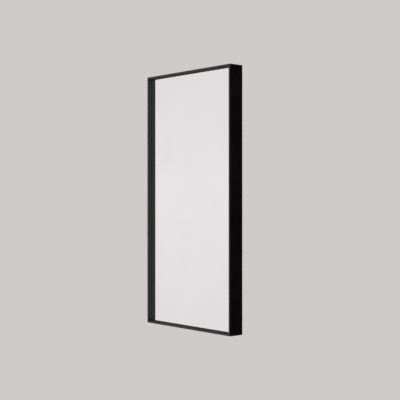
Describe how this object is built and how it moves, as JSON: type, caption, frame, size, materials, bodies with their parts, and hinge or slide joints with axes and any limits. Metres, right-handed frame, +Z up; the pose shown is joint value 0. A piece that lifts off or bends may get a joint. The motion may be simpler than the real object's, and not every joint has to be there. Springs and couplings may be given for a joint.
{
  "type": "framed wall mirror",
  "caption": "Tall rectangular wall mirror set back in a deep, thin-edged matt black box frame, which lifts on and off a 45 degree wall rail.",
  "frame": {"origin": "the middle of the wall rail's back face, in the plane of the wall", "axes": "+X along the wall to the right as seen from the front, +Y into the wall, +Z up; the mirror faces -Y"},
  "size_m": [0.5, 0.0636, 1],
  "materials": {
    "black_coat": "matt black powder coat",
    "silvered_glass": "silvered float glass",
    "black_board": "black dyed fibreboard",
    "foam_tape": "white foam tape",
    "cast_key": "cast zinc, tumbled",
    "mill_aluminium": "mill finish",
    "zinc_steel": "bright zinc plate",
    "dark_steel": "black oxide",
    "soft_rubber": "matt"
  },
  "bodies": {
    "wall_rail": {"wall_rail": "mill_aluminium"},
    "mirror": {"board_screw_bottom_1": "zinc_steel", "board_screw_left_1": "zinc_steel", "board_screw_left_2": "zinc_steel", "board_screw_left_3": "zinc_steel", "board_screw_right_1": "zinc_steel", "board_screw_right_2": "zinc_steel", "board_screw_right_3": "zinc_steel", "board_screw_top_1": "zinc_steel", "bumper_bottom_left": "soft_rubber", "bumper_bottom_right": "soft_rubber", "bumper_top_left": "soft_rubber", "bumper_top_right": "soft_rubber", "carrier_board": "black_board", "frame_profile_bottom": "black_coat", "frame_profile_left": "black_coat", "frame_profile_right": "black_coat", "frame_profile_top": "black_coat", "front_corner_key_bottom_left": "cast_key", "front_corner_key_bottom_right": "cast_key", "front_corner_key_top_left": "cast_key", "front_corner_key_top_right": "cast_key", "hanger_rail": "mill_aluminium", "hanger_screw_1": "zinc_steel", "hanger_screw_2": "zinc_steel", "hanger_screw_3": "zinc_steel", "hanger_screw_4": "zinc_steel", "mirror_glass": "silvered_glass", "mirror_tape_1": "foam_tape", "mirror_tape_2": "foam_tape", "mirror_tape_3": "foam_tape", "mirror_tape_4": "foam_tape", "rear_corner_angle_bottom_left": "zinc_steel", "rear_corner_angle_bottom_right": "zinc_steel", "rear_corner_angle_top_left": "zinc_steel", "rear_corner_angle_top_right": "zinc_steel", "set_screw_bottom_left_1": "dark_steel", "set_screw_bottom_left_2": "dark_steel", "set_screw_bottom_right_1": "dark_steel", "set_screw_bottom_right_2": "dark_steel", "set_screw_top_left_1": "dark_steel", "set_screw_top_left_2": "dark_steel", "set_screw_top_right_1": "dark_steel", "set_screw_top_right_2": "dark_steel"}
  },
  "joints": [
    {"name": "lift_off", "type": "slide", "parent": "wall_rail", "child": "mirror", "axis": [0, -0.7071, 0.7071], "range_m": [0, 0.06]}
  ]
}
